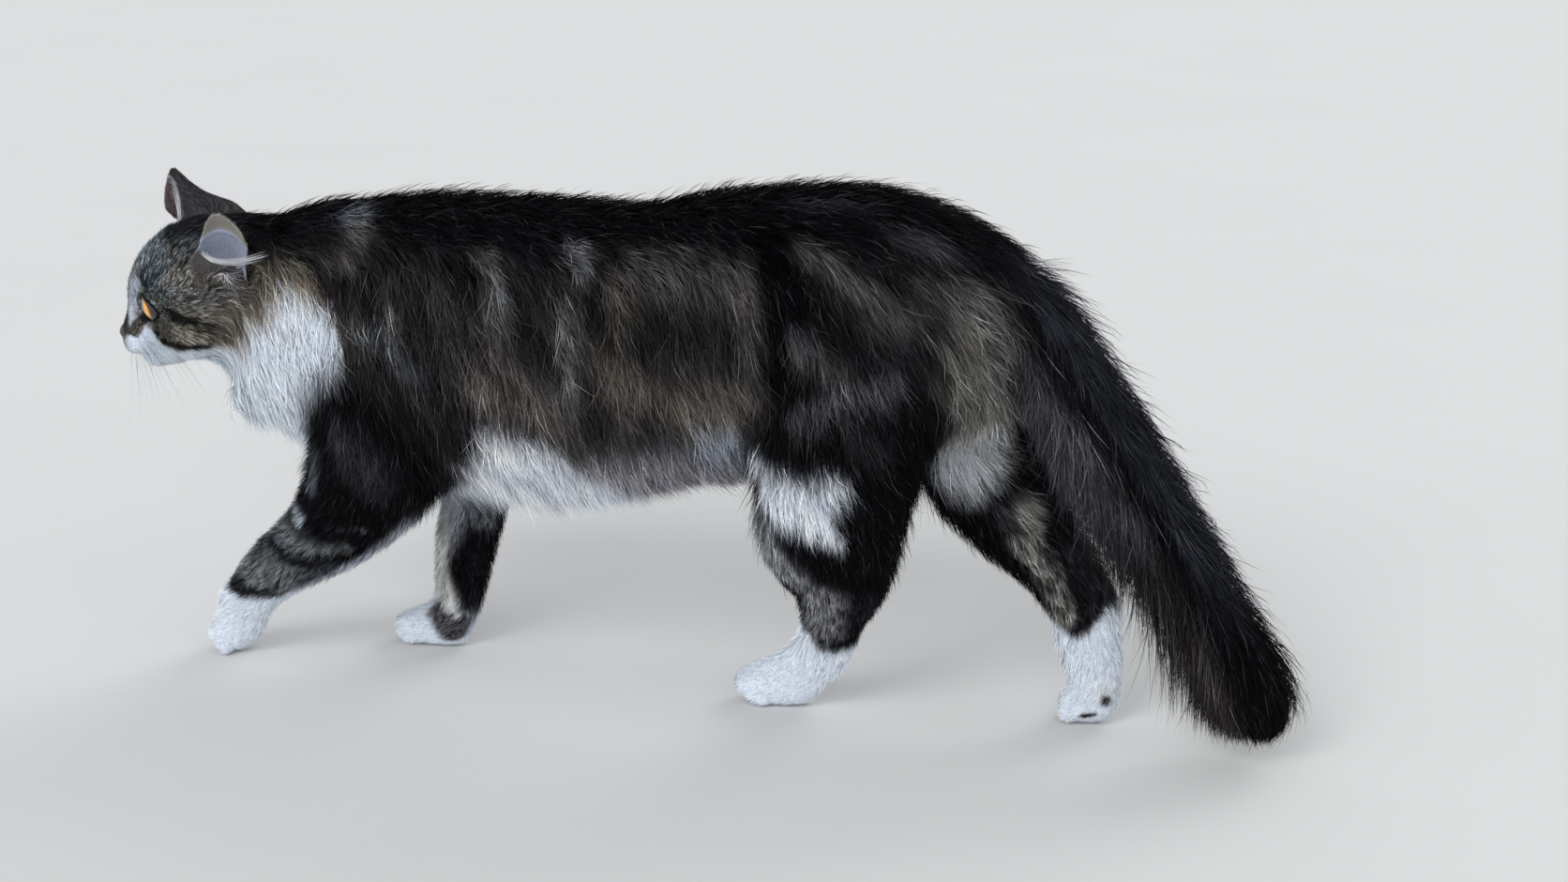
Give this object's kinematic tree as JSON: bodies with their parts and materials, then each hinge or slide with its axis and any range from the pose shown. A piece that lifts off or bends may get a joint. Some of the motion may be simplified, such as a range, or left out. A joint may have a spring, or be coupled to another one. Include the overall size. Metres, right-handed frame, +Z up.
{
  "type": "domestic cat, walking, life-size still model",
  "caption": "Long-haired tabby and white cat as a life-size still model, walking with its head low, head turned aside and tail trailing.",
  "frame": {"origin": "on the floor, under the middle of the whole cat's box", "axes": "+X towards the tail, -X the way the cat faces, -Y its left side, +Z up"},
  "size_m": [0.7022, 0.1472, 0.3041],
  "materials": {
    "tabby": "long soft fur, brown-black tabby with grey ticking",
    "white": "soft white fur",
    "ear": "thin skin with short hair, bare inside",
    "nose": "moist bare skin, brownish pink",
    "eye": "wet clear cornea over an amber iris"
  },
  "bodies": {
    "root": {"head": "tabby", "eye_left": "eye", "eye_right": "eye", "nose_pad": "nose", "ear_left": "ear", "ear_right": "ear", "neck": "tabby", "trunk": "tabby", "leg_front_left": "tabby", "leg_front_right": "tabby", "leg_hind_left": "tabby", "leg_hind_right": "tabby", "paw_front_left": "white", "paw_front_right": "white", "paw_hind_left": "white", "paw_hind_right": "white", "tail": "tabby"}
  },
  "joints": []
}
